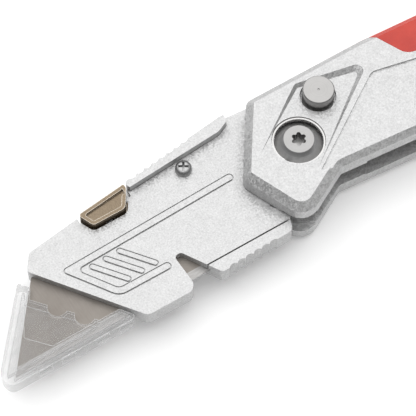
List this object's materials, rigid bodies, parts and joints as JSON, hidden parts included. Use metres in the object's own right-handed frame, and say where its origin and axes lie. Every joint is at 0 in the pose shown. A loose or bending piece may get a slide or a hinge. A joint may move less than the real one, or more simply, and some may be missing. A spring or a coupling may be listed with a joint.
{
  "type": "folding utility knife",
  "caption": "Folding utility knife: metal handle with a red grip, a locking nose that holds a trapezoid blade, a lock button, a blade release button and a clear guard.",
  "frame": {"origin": "on the back face, on the pivot's axis", "axes": "+X along the handle towards the tail, +Y towards the spine, +Z out of the front face"},
  "size_m": [0.1791, 0.0332, 0.0183],
  "materials": {
    "silver_paint": "fine silver powder coat",
    "red_grip": "soft-touch matt",
    "dark_plastic": "matt moulded",
    "plain_steel": "machined",
    "bright_steel": "turned",
    "bronze_washer": "plain rolled",
    "blade_steel": "ground",
    "bronze_nickel": "satin bronze-nickel plate",
    "clear_plastic": "clear moulded"
  },
  "bodies": {
    "handle": {"rear_scale": "silver_paint", "front_scale": "silver_paint", "grip_saddle": "red_grip", "spine_spacer": "dark_plastic", "pivot_barrel": "plain_steel", "pivot_screw": "bright_steel", "pivot_snap_ring": "bright_steel", "front_thrust_washer": "bronze_washer", "rear_thrust_washer": "bronze_washer", "stop_pin": "plain_steel", "body_screws": "bright_steel", "body_sleeves": "plain_steel", "lanyard_eyelet": "bright_steel", "lock_guide_bush": "bronze_washer", "lock_spring": "plain_steel"},
    "nose": {"holder_rear_half": "silver_paint", "holder_front_half": "silver_paint", "holder_screw": "bright_steel", "blade": "blade_steel", "release_spring": "plain_steel"},
    "lock_button": {"lock_button": "bright_steel", "lock_retaining_ring": "plain_steel"},
    "release_button": {"release_button": "bronze_nickel"},
    "guard": {"blade_guard": "clear_plastic"}
  },
  "joints": [
    {"name": "nose_fold", "type": "hinge", "parent": "handle", "child": "nose", "pos_m": [0, 0, 0], "axis": [0, 0, 1], "range_deg": [0, 170]},
    {"name": "lock_button_press", "type": "slide", "parent": "handle", "child": "lock_button", "axis": [0, 0, -1], "range_m": [0, 0.0022], "stiffness_N_per_m": 600, "springref_m": -0.002, "deforming": ["lock_spring"]},
    {"name": "release_button_press", "type": "slide", "parent": "nose", "child": "release_button", "axis": [0, 0, -1], "range_m": [0, 0.0012], "stiffness_N_per_m": 700, "springref_m": -0.0015, "deforming": ["release_spring"]},
    {"name": "guard_slide", "type": "slide", "parent": "nose", "child": "guard", "axis": [-1, 0, 0], "range_m": [0, 0.038]}
  ]
}
